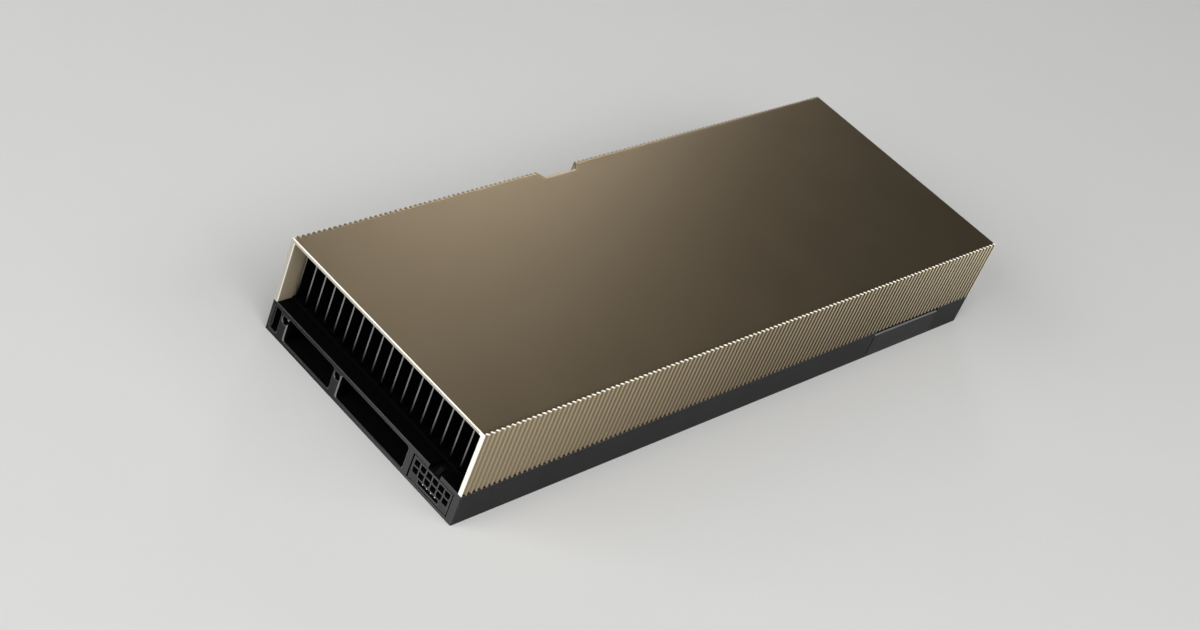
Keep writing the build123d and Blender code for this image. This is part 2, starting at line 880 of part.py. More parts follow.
def shroud_screws():
    """Countersunk screws that pull the lugs, the frame's ledges and the backplate together."""
    screws = []
    for x, y, inward in lug_places():
        head = loft([Pos(x, y, 0) * RegularPolygon(screw_head_radius, round_side_count),
                     Pos(x, y, backplate_thickness) * RegularPolygon(screw_radius, round_side_count)])
        shank = rod(x, y, backplate_thickness, board_bottom + screw_grip, screw_radius)
        recess = rod(x, y, 0, backplate_thickness / 2, driver_radius, recess_side_count)
        screws.append(head + shank - recess)
    return group(screws)


def retention_screws():
    """Pan-head screws that pull the heat spreader onto the processor."""
    screws = []
    for x, y in retention_places():
        head = rod(x, y, retention_head_gap, support_bottom, retention_head_radius)
        shank = rod(x, y, support_bottom, spreader_bottom - 2 * interface_thickness, retention_radius)
        recess = rod(x, y, 0, support_bottom / 2, driver_radius, recess_side_count)
        screws.append(head + shank - recess)
    return group(screws)


nodes = (
    shroud, base_frame, link_cover, backplate, insulating_film, circuit_board, edge_contacts, link_contacts,
    heat_sink_base, heat_sink_fins, side_fins, heat_spreader, thermal_pads, thermal_interface,
    processor_substrate, processor_die, memory_stacks, package_frame, inductors, power_stages, capacitors,
    input_capacitors, control_chips, support_plate, board_spacers, power_socket, power_pins, sense_pins,
    shroud_screws, retention_screws,
)

os.makedirs("parts", exist_ok=True)
for node in nodes:
    export_step(node(), "parts/" + node.__name__ + ".step")
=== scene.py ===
import math

import bpy
import numpy as np
from mathutils import Matrix, Vector


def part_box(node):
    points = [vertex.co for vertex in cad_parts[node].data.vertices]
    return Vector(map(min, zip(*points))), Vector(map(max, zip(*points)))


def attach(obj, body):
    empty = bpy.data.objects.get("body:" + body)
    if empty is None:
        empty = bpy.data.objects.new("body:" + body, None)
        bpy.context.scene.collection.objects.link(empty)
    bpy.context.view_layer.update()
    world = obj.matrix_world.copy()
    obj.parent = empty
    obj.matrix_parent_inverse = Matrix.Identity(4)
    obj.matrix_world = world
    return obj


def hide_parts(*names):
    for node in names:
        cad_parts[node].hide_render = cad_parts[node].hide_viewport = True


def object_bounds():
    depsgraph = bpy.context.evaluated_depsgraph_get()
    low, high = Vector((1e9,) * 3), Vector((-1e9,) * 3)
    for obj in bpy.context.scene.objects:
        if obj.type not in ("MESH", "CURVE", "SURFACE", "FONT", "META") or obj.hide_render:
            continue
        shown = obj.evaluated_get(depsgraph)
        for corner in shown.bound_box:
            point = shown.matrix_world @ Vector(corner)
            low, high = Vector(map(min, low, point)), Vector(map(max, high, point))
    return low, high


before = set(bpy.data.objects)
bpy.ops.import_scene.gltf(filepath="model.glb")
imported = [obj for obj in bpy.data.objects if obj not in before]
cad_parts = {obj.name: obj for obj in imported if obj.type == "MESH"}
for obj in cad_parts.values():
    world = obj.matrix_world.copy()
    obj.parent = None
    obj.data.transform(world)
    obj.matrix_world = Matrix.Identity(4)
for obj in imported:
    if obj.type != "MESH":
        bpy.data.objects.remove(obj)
cad_low, cad_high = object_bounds()


# Backplate: a flat steel sheet that closes the underside, punched, countersunk and powder coated black.
# The screws from below clamp it to the frame's ledges and the shroud's lugs.

mm = 0.001


def add_node(tree, kind, inputs=None, **settings):
    """One shader node with its settings. An input is given as a value, or as the socket that feeds it."""
    node = tree.nodes.new("ShaderNode" + kind)
    for name, value in settings.items():
        setattr(node, name, value)
    for name, value in (inputs or {}).items():
        if isinstance(value, bpy.types.NodeSocket):
            tree.links.new(value, node.inputs[name])
        else:
            node.inputs[name].default_value = value
    return node


def add_group(name, inputs, outputs):
    """An empty node group with named inputs and outputs. Returns it with what it is given and what it gives."""
    group = bpy.data.node_groups.new(name, "ShaderNodeTree")
    for label, kind, value in inputs:
        socket = group.interface.new_socket(label, in_out="INPUT", socket_type=kind)
        socket.default_value = value
    for label, kind in outputs:
        group.interface.new_socket(label, in_out="OUTPUT", socket_type=kind)
    return group, group.nodes.new("NodeGroupInput").outputs, group.nodes.new("NodeGroupOutput").inputs


def calc(tree, operation, *values, clamp=False):
    """The result of one Math node."""
    return add_node(tree, "Math", dict(enumerate(values)), operation=operation, use_clamp=clamp).outputs[0]


def blend(tree, factor, first, second, kind="RGBA"):
    """A mix of two colours, or of two values, by a factor."""
    return add_node(tree, "Mix", {"Factor": factor, "A": first, "B": second}, data_type=kind).outputs["Result"]


def skin_group():
    """Fine grain over slow clouds. The grain is the height, and both vary roughness and colour a little."""
    group, given, result = add_group(
        "skin",
        [("Color", "NodeSocketColor", (0.5, 0.5, 0.5, 1)), ("Roughness", "NodeSocketFloat", 0.5),
         ("Grains per metre", "NodeSocketFloat", 4000), ("Clouding", "NodeSocketFloat", 0.1),
         ("Stretch", "NodeSocketVector", (1, 1, 1))],
        [("Color", "NodeSocketColor"), ("Roughness", "NodeSocketFloat"), ("Height", "NodeSocketFloat")])
    clouds_per_metre = 45.0
    place = add_node(group, "TexCoord").outputs["Object"]
    drawn = add_node(group, "VectorMath", {0: place, 1: given["Stretch"]}, operation="MULTIPLY").outputs[0]
    grain = add_node(group, "TexNoise", {"Vector": drawn, "Scale": given["Grains per metre"], "Detail": 3.0})
    cloud = add_node(group, "TexNoise", {"Vector": place, "Scale": clouds_per_metre, "Detail": 4.0, "Roughness": 0.6})
    swing = calc(group, "SUBTRACT", calc(group, "ADD", grain.outputs[0], cloud.outputs[0]), 1.0)
    amount = calc(group, "MULTIPLY", swing, given["Clouding"])
    shade = add_node(group, "VectorMath", {0: given["Color"], "Scale": calc(group, "ADD", amount, 1.0)},
                     operation="SCALE").outputs[0]
    rough = calc(group, "ADD", amount, given["Roughness"], clamp=True)
    group.links.new(shade, result["Color"])
    group.links.new(rough, result["Roughness"])
    group.links.new(grain.outputs[0], result["Height"])
    return group


skin = skin_group()


def skin_material(name, colour, roughness, metallic=0.0, grains=4000.0, clouding=0.1, relief=0.00002,
                  stretch=(1, 1, 1), specular=0.5):
    """A material with one skin all over."""
    material = bpy.data.materials.new(name)
    material.use_nodes = True
    tree = material.node_tree
    shader = tree.nodes["Principled BSDF"]
    shader.inputs["Metallic"].default_value = metallic
    shader.inputs["Specular IOR Level"].default_value = specular
    layer = add_node(tree, "Group", node_tree=skin)
    layer.inputs["Color"].default_value = (*colour, 1)
    layer.inputs["Roughness"].default_value = roughness
    layer.inputs["Grains per metre"].default_value = grains
    layer.inputs["Clouding"].default_value = clouding
    layer.inputs["Stretch"].default_value = stretch
    bump = add_node(tree, "Bump", {"Height": layer.outputs["Height"], "Distance": relief})
    tree.links.new(layer.outputs["Color"], shader.inputs["Base Color"])
    tree.links.new(layer.outputs["Roughness"], shader.inputs["Roughness"])
    tree.links.new(bump.outputs["Normal"], shader.inputs["Normal"])
    return material


def dress(node, material, edge=0.0):
    """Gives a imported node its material, and rounds its sharp edges a little."""
    same_point, flat_within, sharp_from = 0.001 * mm, math.radians(1), math.radians(30)
    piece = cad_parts[node]
    piece.data.materials.clear()
    piece.data.materials.append(material)
    if edge:
        piece.modifiers.new("weld", "WELD").merge_threshold = same_point
        flat = piece.modifiers.new("flat", "DECIMATE")
        flat.decimate_type = "DISSOLVE"
        flat.angle_limit = flat_within
        round_off = piece.modifiers.new("round_off", "BEVEL")
        round_off.width = edge
        round_off.segments = 2
        round_off.limit_method = "ANGLE"
        round_off.angle_limit = sharp_from
        round_off.harden_normals = True
    return piece


def overlay(material, mask, colour, roughness=None, metallic=None):
    """Lays another finish over a material where a mask is one. What fed each input before stays elsewhere."""
    tree = material.node_tree
    inputs = tree.nodes["Principled BSDF"].inputs
    colour = colour if isinstance(colour, bpy.types.NodeSocket) else (*colour, 1)
    for name, value, kind in (("Base Color", colour, "RGBA"), ("Roughness", roughness, "FLOAT"),
                              ("Metallic", metallic, "FLOAT")):
        if value is not None:
            before = inputs[name].links[0].from_socket if inputs[name].links else inputs[name].default_value
            tree.links.new(blend(tree, mask, before, value, kind=kind), inputs[name])


def inside_box(tree, low, high):
    """A mask of what lies between two corners of a box, by Object coordinates."""
    place = add_node(tree, "SeparateXYZ", {0: add_node(tree, "TexCoord").outputs["Object"]})
    inside = 1.0
    for axis, least, most in zip("XYZ", low, high):
        offset = calc(tree, "SUBTRACT", place.outputs[axis], (least + most) / 2)
        within = calc(tree, "LESS_THAN", calc(tree, "ABSOLUTE", offset), (most - least) / 2)
        inside = calc(tree, "MULTIPLY", within, inside)
    return inside


def paint_shade_inside(material, low, high, colour=(0.004, 0.004, 0.004)):
    """Painted shade: a plain dark colour on what lies between two corners, such as a duct's walls or a socket's
    cells.
    """
    overlay(material, inside_box(material.node_tree, low, high), colour, 0.8, 0.9)


plate_low, plate_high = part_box("backplate")
plate_rim = Vector((0, 0, 0.2)) * mm
past_all = Vector((1, 1, 1)) * mm
dark_plate = skin_material("dark_plate_paint", (0.030, 0.032, 0.036), 0.55, grains=2600, clouding=0.2, relief=0.00003)
# Painted shade: all of the plate but the skin of its underside is painted near black, for the shade inside the card.
paint_shade_inside(dark_plate, plate_low + plate_rim, plate_high + past_all)
dress("backplate", dark_plate, 0.1 * mm)


# Insulating film: dark polyester sheet between the backplate and the board's solder joints, cut to size.
# It lies loose between them and keeps the board from touching the steel.

dress("insulating_film", skin_material("film_gloss", (0.10, 0.075, 0.035), 0.25, grains=900, clouding=0.2))


# Circuit board: glass-fibre laminate under dark solder mask, with copper tracks that show as a faint relief.
# It lies on the frame's ledges, and its tab and hook reach out through the slot in the far side.

def track_group():
    """Tracks as bands of two crossing waves, one or the other in each cell of a square mosaic, and dots for vias."""
    cells_per_metre, vias_per_metre, via_reach, track_from = 90.0, 420.0, 0.09, 0.6
    group, given, result = add_group(
        "tracks", [("Tracks per metre", "NodeSocketFloat", 900.0)],
        [("Height", "NodeSocketFloat"), ("Vias", "NodeSocketFloat")])
    place = add_node(group, "TexCoord").outputs["Object"]
    waves = [add_node(group, "TexWave", {"Vector": place, "Scale": given[0], "Distortion": 0.0},
                      bands_direction=direction).outputs["Fac"] for direction in ("X", "Y")]
    cells = add_node(group, "TexVoronoi", {"Vector": place, "Scale": cells_per_metre},
                     distance="CHEBYCHEV").outputs["Color"]
    side = calc(group, "GREATER_THAN", add_node(group, "SeparateColor", {"Color": cells}).outputs[0], 0.5)
    height = calc(group, "GREATER_THAN", blend(group, side, *waves, kind="FLOAT"), track_from)
    dots = add_node(group, "TexVoronoi", {"Vector": place, "Scale": vias_per_metre,
                                          "Randomness": 0.7}).outputs["Distance"]
    vias = calc(group, "LESS_THAN", dots, via_reach)
    group.links.new(height, result["Height"])
    group.links.new(vias, result["Vias"])
    return group


tracks = track_group()


def facing(tree, axis, limit):
    """A mask of the faces that look along an axis, either way: the size of that part of the normal over a limit."""
    parts = add_node(tree, "SeparateXYZ", {0: add_node(tree, "NewGeometry").outputs["Normal"]})
    return calc(tree, "GREATER_THAN", calc(tree, "ABSOLUTE", parts.outputs[axis]), limit)


def board_material(name, mask_colour, tracks_per_metre):
    """Solder mask over tracks on the two faces, and bare laminate with its plies on the edges."""
    track_height, plies_per_metre = 0.6, 1500.0
    material = skin_material(name, mask_colour, 0.34, grains=3000, clouding=0.15)
    tree = material.node_tree
    relief = add_node(tree, "Group", {"Tracks per metre": tracks_per_metre}, node_tree=tracks)
    height = tree.nodes["Bump"].inputs["Height"]
    grain = height.links[0].from_socket
    tree.links.new(calc(tree, "MULTIPLY_ADD", relief.outputs["Height"], track_height, grain), height)
    place = add_node(tree, "TexCoord").outputs["Object"]
    plies = add_node(tree, "TexWave", {"Vector": place, "Scale": plies_per_metre, "Distortion": 1.5},
                     bands_direction="Z")
    edge = blend(tree, plies.outputs["Fac"], (0.13, 0.11, 0.06, 1), (0.08, 0.065, 0.035, 1))
    overlay(material, relief.outputs["Vias"], (0.10, 0.12, 0.08))
    overlay(material, calc(tree, "SUBTRACT", 1.0, facing(tree, "Z", 0.5)), edge)
    return material


dress("circuit_board", board_material("solder_mask", (0.010, 0.028, 0.017), 900.0))


# Contacts: hard gold plated on nickel over the board's own copper, on the edge tab and behind the link cover.
# They are etched with the tracks, and wiped along Y by every insertion.

contact_gold = skin_material("contact_gold", (0.86, 0.62, 0.25), 0.22, 1.0, 2500, 0.18, stretch=(1, 0.06, 1))
dress("edge_contacts", contact_gold)
dress("link_contacts", contact_gold)


# Processor: bare die and memory stacks on a green laminate carrier, with a nickel-plated stiffening ring.
# The carrier is soldered to the board, and a thin sheet of filler takes the heat to the pedestal.

dress("processor_substrate", board_material("carrier_mask", (0.012, 0.050, 0.026), 2600.0), 0.06 * mm)
silicon = skin_material("polished_silicon", (0.22, 0.23, 0.26), 0.12, 0.9, 700, 0.2, relief=0.000002)
dress("processor_die", silicon, 0.04 * mm)
dress("memory_stacks", silicon, 0.04 * mm)
nickel = skin_material("nickel_plate", (0.56, 0.55, 0.52), 0.30, 1.0, 2500, 0.2, stretch=(0.05, 1, 1))
dress("package_frame", nickel, 0.08 * mm)
filler = skin_material("soft_filler", (0.36, 0.38, 0.40), 0.75, grains=1600, clouding=0.25, relief=0.00004)
dress("thermal_interface", filler)
dress("thermal_pads", filler, 0.1 * mm)


# Power and control parts: pressed ferrite cubes, moulded resin packages, ceramic blocks and drawn aluminium cans.
# All stand on the board's pads, soldered by their undersides.

dress("inductors", skin_material("ferrite", (0.085, 0.085, 0.09), 0.6, 0.2, 1900, 0.3, relief=0.00004), 0.2 * mm)
resin = skin_material("chip_resin", (0.020, 0.020, 0.022), 0.5, grains=5000, clouding=0.25)
dress("power_stages", resin, 0.08 * mm)
dress("control_chips", resin, 0.1 * mm)
dress("capacitors", skin_material("sintered_ceramic", (0.40, 0.29, 0.19), 0.3, grains=2200, clouding=0.2), 0.15 * mm)
dress("input_capacitors", skin_material("drawn_can", (0.66, 0.66, 0.67), 0.3, 1.0, 1800, 0.2, stretch=(1, 1, 0.05)),
      0.25 * mm)


# Support plate, spacers and screws: spring steel behind the processor, turned brass posts, and zinc-plated or
# blackened steel screws. The plate is pulled up by the retention screws, and the rest is plain threaded joints.

dress("support_plate", nickel, 0.1 * mm)
dress("board_spacers", skin_material("turned_brass", (0.70, 0.53, 0.27), 0.28, 1.0, 3000, 0.2, stretch=(1, 1, 0.1)),
      0.1 * mm)
dress("retention_screws", skin_material("zinc_plate", (0.56, 0.56, 0.54), 0.35, 1.0, 2600, 0.25), 0.12 * mm)
dress("shroud_screws", skin_material("black_oxide", (0.05, 0.05, 0.052), 0.4, 0.9, 3000, 0.3), 0.08 * mm)


# Heat spreader: a copper vapour chamber, brazed from two stamped halves, with a milled pedestal and four posts.
# It is soldered under the heat sink's base plate.

dress("heat_spreader", skin_material("bare_copper", (0.80, 0.42, 0.27), 0.32, 1.0, 1500, 0.25, stretch=(0.08, 1, 1)),
      0.15 * mm)


# Heat sink: thin aluminium fins folded and soldered to a base plate, all anodised black after assembly.
# The ends are milled flat last, so the leading edge of each fin is bare metal.

end_on = 0.9


def cut_ends_and_highlight(material, half_length, colour, roughness, metallic, dulled):
    """Bare cut metal beyond a distance from the middle along x: sawn faces that look along x, dulled by fine marks,
    and chamfers in the full colour as a painted highlight. Returns the mask of what is cut."""
    marks_per_metre, mark_depth = 900.0, 0.07
    tree = material.node_tree
    place = add_node(tree, "TexCoord").outputs["Object"]
    along = calc(tree, "ABSOLUTE", add_node(tree, "SeparateXYZ", {0: place}).outputs["X"])
    cut = calc(tree, "GREATER_THAN", along, half_length)
    marks = add_node(tree, "TexWave", {"Vector": place, "Scale": marks_per_metre, "Distortion": 3.0, "Detail": 2.0},
                     bands_direction="Y").outputs["Fac"]
    darker, lighter = ([*(share * part for part in colour), 1] for share in (dulled, dulled + mark_depth))
    sawn = blend(tree, marks, darker, lighter)
    overlay(material, cut, blend(tree, facing(tree, "X", end_on), (*colour, 1), sawn), roughness, metallic)
    return cut


def rising(tree, axis, low, high):
    """A mask that rises from nothing to one between two places along an axis."""
    place = add_node(tree, "SeparateXYZ", {0: add_node(tree, "TexCoord").outputs["Object"]}).outputs[axis]
    return add_node(tree, "MapRange", {"Value": place, "From Min": low, "From Max": high}).outputs["Result"]


fins_low, fins_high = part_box("heat_sink_fins")
cut_depth = 0.02 * mm
fin_shade_floor = fins_low.z + 1.5 * mm
fin_shade_height = 8 * mm
dark = (0.0035, 0.0035, 0.0038)
# Painted shade: the base plate takes a darker copy of the fins' black anodising, for the shade under them.
shaded_black_base = skin_material("shaded_black_base", (0.0018, 0.0018, 0.0018), 0.7, 0.3, 3500, 0.15, stretch=(0.3, 1, 1),
                           specular=0.05)
dress("heat_sink_base", shaded_black_base, 0.08 * mm)
black_anodised = skin_material("black_anodised", dark, 0.5, 0.5, 3500, 0.15, stretch=(0.3, 1, 1), specular=0.1)
cut_ends_and_highlight(black_anodised, fins_high.x - cut_depth, (0.42, 0.42, 0.42), 0.35, 1.0, 0.68)
# Painted shade towards the fins' feet: from a little over the base up to a height, the bright leading edges fade into
# the dark of the anodising.
fin_foot_shade = calc(black_anodised.node_tree, "SUBTRACT", 1.0,
            rising(black_anodised.node_tree, "Z", fin_shade_floor, fin_shade_floor + fin_shade_height))
overlay(black_anodised, fin_foot_shade, dark)
for node in ("heat_sink_fins", "side_fins"):
    dress(node, black_anodised, 0.05 * mm)


# Base frame: a die casting in fine black powder coat, with the pierced end panel and the plain near side.
# The board, the backplate and the heat sink all sit in it, and the shroud stands on its upper rim.

def edge_group():
    """How far the surface turns within a radius: nothing on flats, one on sharp edges. One minus the cosine of the
    turn, times a gain."""
    gain = 6.0
    group, given, result = add_group("edges", [("Radius", "NodeSocketFloat", 0.0003)], [("Edge", "NodeSocketFloat")])
    rounded = add_node(group, "Bevel", {"Radius": given["Radius"]}, samples=4).outputs["Normal"]
    plain = add_node(group, "NewGeometry").outputs["Normal"]
    same = add_node(group, "VectorMath", {0: rounded, 1: plain}, operation="DOT_PRODUCT").outputs["Value"]
    turned = calc(group, "MULTIPLY", calc(group, "SUBTRACT", 1.0, same), gain, clamp=True)
    group.links.new(turned, result["Edge"])
    return group


edges = edge_group()


def wear_and_edge_highlight(material, radius, colour):
    """Edges painted lighter, more or less by a slow noise: partly rubbed wear, partly a painted highlight."""
    patches_per_metre, least = 150.0, 0.25
    tree = material.node_tree
    edge = add_node(tree, "Group", {"Radius": radius}, node_tree=edges).outputs["Edge"]
    place = add_node(tree, "TexCoord").outputs["Object"]
    patches = add_node(tree, "TexNoise", {"Vector": place, "Scale": patches_per_metre, "Detail": 3.0}).outputs[0]
    overlay(material, calc(tree, "MULTIPLY", edge, calc(tree, "ADD", patches, least, clamp=True)), colour)


def tilted_up(tree, low, high):
    """A mask of the faces between a wall and a roof: the upward part of the normal lies between two limits."""
    up = add_node(tree, "SeparateXYZ", {0: add_node(tree, "NewGeometry").outputs["Normal"]}).outputs["Z"]
    return calc(tree, "MULTIPLY", calc(tree, "GREATER_THAN", up, low), calc(tree, "LESS_THAN", up, high))


frame_low, frame_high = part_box("base_frame")
face_skin, side_wall = 0.36 * mm, 1.75 * mm
to_inside = Vector((face_skin, side_wall, -1 * mm))
frame_coat = skin_material("frame_coat", (0.0148, 0.015, 0.0157), 0.50, grains=2200, clouding=0.2, relief=0.00003,
                           specular=0.12)
# Painted light and shade on the end panel: its faces that look along x are painted paler towards the near side, and a
# little darker than the coat at the far side.
far_half = rising(frame_coat.node_tree, "Y", frame_low.y / 2, frame_high.y / 2)
overlay(frame_coat, facing(frame_coat.node_tree, "X", end_on),
        blend(frame_coat.node_tree, far_half, (0.050, 0.0502, 0.051, 1), (0.0125, 0.0127, 0.013, 1)))
# Edges painted lighter: rubbed wear and a painted highlight.
wear_and_edge_highlight(frame_coat, 0.35 * mm, (0.20, 0.20, 0.205))
# Painted shade on the duct's walls, the deck and the insides of the windows.
paint_shade_inside(frame_coat, frame_low + to_inside, frame_high - to_inside)
dress("base_frame", frame_coat, 0.15 * mm)


# Link cover: a small moulded cover that snaps into the near side by two hooks, with a bevelled top lip.
# It hides the contacts for a bridge to the next card.

cover_low, cover_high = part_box("link_cover")
cover_plastic = skin_material("cover_plastic", (0.019, 0.0192, 0.020), 0.45, grains=3200, clouding=0.15,
                              specular=0.12)
# Painted highlight on the bevel of the top lip.
cover_lip_highlight = tilted_up(cover_plastic.node_tree, 0.5, 0.97)
overlay(cover_plastic, cover_lip_highlight, (0.17, 0.17, 0.17), 0.4)
# Painted shade in the seam at each end, over its whole height and depth, here a metre each way.
hook_reach, seam_width = 1.0 * mm, 0.4 * mm
for edge_x, inward in ((cover_low.x + hook_reach, 1), (cover_high.x - hook_reach, -1)):
    seam = sorted((edge_x - inward * hook_reach, edge_x + inward * seam_width))
    paint_shade_inside(cover_plastic, Vector((seam[0], -1, -1)), Vector((seam[1], 1, 1)))
dress("link_cover", cover_plastic, 0.1 * mm)


# Power socket: moulded glass-filled plastic with twelve power cells, a sense slot and a latch ramp, and tinned pins.
# It is soldered to the board by its pins and looks out through the end panel.

def paint_gap_shadow(coat, low, high):
    """Painted shadow in the gap between the socket and the panel's cutout, in the panel's coat. It reaches less far
    down, where the sill under the socket shows, and ends over the socket's body, below the top of the latch ramp."""
    gap, sill_gap, latch_height = 0.6 * mm, 0.3 * mm, 1.9 * mm
    paint_shade_inside(coat, low - Vector((gap, gap, sill_gap)), high + Vector((gap, gap, gap - latch_height)),
                  (0.002, 0.002, 0.002))


def paint_jamb_highlights(coat, after, colour):
    """Painted highlight on the front of the windows' upright walls, from a place beside the socket on."""
    tree = coat.node_tree
    depth, clear, turned = 0.5 * mm, 0.1 * mm, 0.6
    front = inside_box(tree, frame_low - past_all,
                       (frame_low.x + depth, frame_high.y - side_wall, frame_high.z))
    front = calc(tree, "MULTIPLY", front, rising(tree, "Y", after - clear, after))
    overlay(coat, calc(tree, "MULTIPLY", front, facing(tree, "Y", turned)), colour, 0.35)


def tin_plate(name):
    """Bright tin over drawn brass wire, with its drawing marks along the pin."""
    return skin_material(name, (0.70, 0.69, 0.66), 0.25, 1.0, 2600, 0.2, stretch=(0.1, 1, 1))


socket_low, socket_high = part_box("power_socket")
cutout_margin, tip_length = 1.0 * mm, 1.5 * mm
# Painted shadow round the socket, in the panel's coat.
paint_gap_shadow(frame_coat, socket_low, socket_high)
# Painted highlight on the windows' upright walls.
paint_jamb_highlights(frame_coat, socket_high.y + cutout_margin, (0.22, 0.22, 0.225))
socket_plastic = skin_material("socket_plastic", (0.024, 0.024, 0.026), 0.42, grains=2600, clouding=0.2)
# Edges painted lighter: rubbed wear and a painted highlight.
wear_and_edge_highlight(socket_plastic, 0.3 * mm, (0.24, 0.24, 0.24))
behind_face = Vector((0.05, -1, -1)) * mm
# Painted shade in the socket's cells, behind its face.
paint_shade_inside(socket_plastic, socket_low + behind_face, socket_high + past_all, (0.008, 0.008, 0.008))
dress("power_socket", socket_plastic)
dress("power_pins", tin_plate("tin_plate"), 0.1 * mm)
sense_tin = tin_plate("sense_tin")
# The sense pins' tips are painted near white, a painted highlight.
cut_ends_and_highlight(sense_tin, -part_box("sense_pins")[0].x - tip_length, (1.0, 0.99, 0.96), 0.5, 0.0, 0.9)
dress("sense_pins", sense_tin, 0.08 * mm)


# Shroud: one aluminium extrusion, closed on top, with both long sides fluted along their height.
# It is bead blasted and anodised champagne gold, then both rims are cut bright. Screws from below hold its lugs.

# Its sizes are in millimetres, and places along the length are counted from the open end.
wall, roof, lip, lip_points = 1.9, 1.5, 0.5, 5
rib_pitch, rib_depth, points_per_rib = 2.16829, 0.7, 16
rim_outer, rim_inner = 0.25, 0.3
notch_depth, notch_softness = 3.6, 0.4
notch_places = {"start": 108.4, "floor_start": 109.9, "floor_end": 125.2, "end": 127.9}
near_lugs, far_lugs = (24.0, 92.0, 168.0, 256.0), (24.0, 92.0, 244.0)
lug_half_x, lug_half_y, lug_centre, lug_rise = 4.0, 2.15, 4.25, 3.4
lug_hole, lug_hole_height = 1.0, 8.0


def wave_depth(x, start, pitch, depth):
    """How deep the flutes are at each x: half the depth times one minus the cosine of the place in the pitch."""
    return depth * (1 - np.cos(2 * np.pi * (x - start) / pitch)) / 2


def soft_max(first, second, softness):
    """The larger of two values, rounded where they meet: half of their sum plus the root of their squared
    difference and the squared softness."""
    return (first + second + np.sqrt((first - second) ** 2 + softness ** 2)) / 2


def notch_line(x, side, margin, start, floor_start, floor_end, end):
    """The notch's wall, as y at each x: two slopes and a floor, all moved into the shroud by a margin.
    Each slope moves along x by the margin times its length over the depth."""
    line = side - notch_depth - margin
    for from_start, lean in ((x - start, floor_start - start), (end - x, end - floor_end)):
        reach = from_start + margin * math.hypot(lean, notch_depth) / notch_depth
        line = soft_max(line, side - reach * notch_depth / lean, notch_softness)
    return line


def add_mesh(name, points, faces, material, slot):
    """A new piece from an array of points in millimetres and a list of faces, smooth but for its sharp edges."""
    sharp_from = math.radians(35)
    mesh = bpy.data.meshes.new(name)
    mesh.from_pydata((points * mm).tolist(), [], faces)
    mesh.polygons.foreach_set("use_smooth", np.ones(len(mesh.polygons), dtype=bool))
    mesh.set_sharp_from_angle(angle=sharp_from)
    mesh.materials.append(material)
    piece = bpy.data.objects.new(name, mesh)
    bpy.context.scene.collection.objects.link(piece)
    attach(piece, "root")
    return piece


def grid_faces(rows, columns):
    """Quads of a grid of points whose columns close into a ring."""
    row = np.arange(rows - 1)[:, None] * columns
    here = np.arange(columns)[None, :]
    there = (here + 1) % columns
    return np.stack([row + here, row + columns + here, row + columns + there, row + there], axis=-1).reshape(-1, 4)


def shroud_surface():
    """The shroud as rings of one inverted U, swept along x. The outer side follows the flutes and the notch."""
    low, high = [np.array(corner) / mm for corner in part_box("shroud")]
    start, end = low[0], high[0]
    near, far, top = low[1], high[1], high[2]
    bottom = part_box("base_frame")[1][2] / mm
    x = np.linspace(start, end, points_per_rib * round((end - start) / rib_pitch) + 1)
    x = np.unique(np.concatenate([x, [start + rim_outer, start + rim_inner, end - rim_inner, end - rim_outer]]))
    from_end = np.minimum(x - start, end - x)
    inset = np.clip(rim_outer - from_end, 0, None)
    flare = np.clip(rim_inner - from_end, 0, None)
    wave = wave_depth(x, start, rib_pitch, rib_depth)
    places = {name: start + value for name, value in notch_places.items()}
    y_near = near + wave + inset
    y_far = np.minimum(far - wave, notch_line(x, far, 0, **places)) - inset
    y_near_in = near + wall - flare
    y_far_in = np.minimum(far - wall, notch_line(x, far, wall, **places)) + flare
    floor = np.full_like(x, bottom)
    sides = []
    arc = np.linspace(0, np.pi / 2, lip_points)
    for y_start, y_end, z_top in ((y_near, y_far, top - inset), (y_near_in, y_far_in, top - roof + flare)):
        turns = [(lip * (1 - np.cos(angle)), z_top - lip * (1 - np.sin(angle))) for angle in arc]
        turns.append((3 * lip, z_top))
        sides.append([(y_start, floor)] + [(y_start + y, z) for y, z in turns]
                     + [(y_end - y, z) for y, z in turns[::-1]] + [(y_end, floor)])
    ring = sides[0] + sides[1][::-1]
    points = np.stack([np.stack(np.broadcast_arrays(x, y, z), axis=-1) for y, z in ring], axis=1)
    rows, columns = points.shape[:2]
    outer = np.arange(columns // 2)
    inner = columns - 1 - outer
    cap = np.stack([outer[:-1], outer[1:], inner[1:], inner[:-1]], axis=-1)
    caps = [cap, cap[:, ::-1] + (rows - 1) * columns]
    return points.reshape(-1, 3), np.concatenate([grid_faces(rows, columns), *caps]).tolist()


def lug_surface(x, y, z0, z1, half_x, half_y, hole_radius, hole_top, steps=4):
    """A block with a blind hole from below, as rings from the hole's end out to the block's top.
    Each side of the block is cut in equal steps of the angle between its corners."""
    corner = math.atan2(half_y, half_x)
    turns = [corner, math.pi - corner, math.pi + corner, 2 * math.pi - corner, 2 * math.pi + corner]
    angle = np.concatenate([np.linspace(a, b, steps, endpoint=False) for a, b in zip(turns[:-1], turns[1:])])
    way = np.stack([np.cos(angle), np.sin(angle)], axis=-1)
    block = way / np.max(np.abs(way) / (half_x, half_y), axis=1, keepdims=True)
    hole = way * hole_radius
    levels = [(hole, hole_top), (hole, z0), (block, z0), (block, z1)]
    points = [np.column_stack([flat + (x, y), np.full(len(flat), z)]) for flat, z in levels]
    faces = grid_faces(len(levels), 4 * steps).tolist()
    last = (len(levels) - 1) * 4 * steps
    faces += [list(range(4 * steps)), list(range(last, last + 4 * steps))[::-1]]
    return np.concatenate(points), [face[::-1] for face in faces]


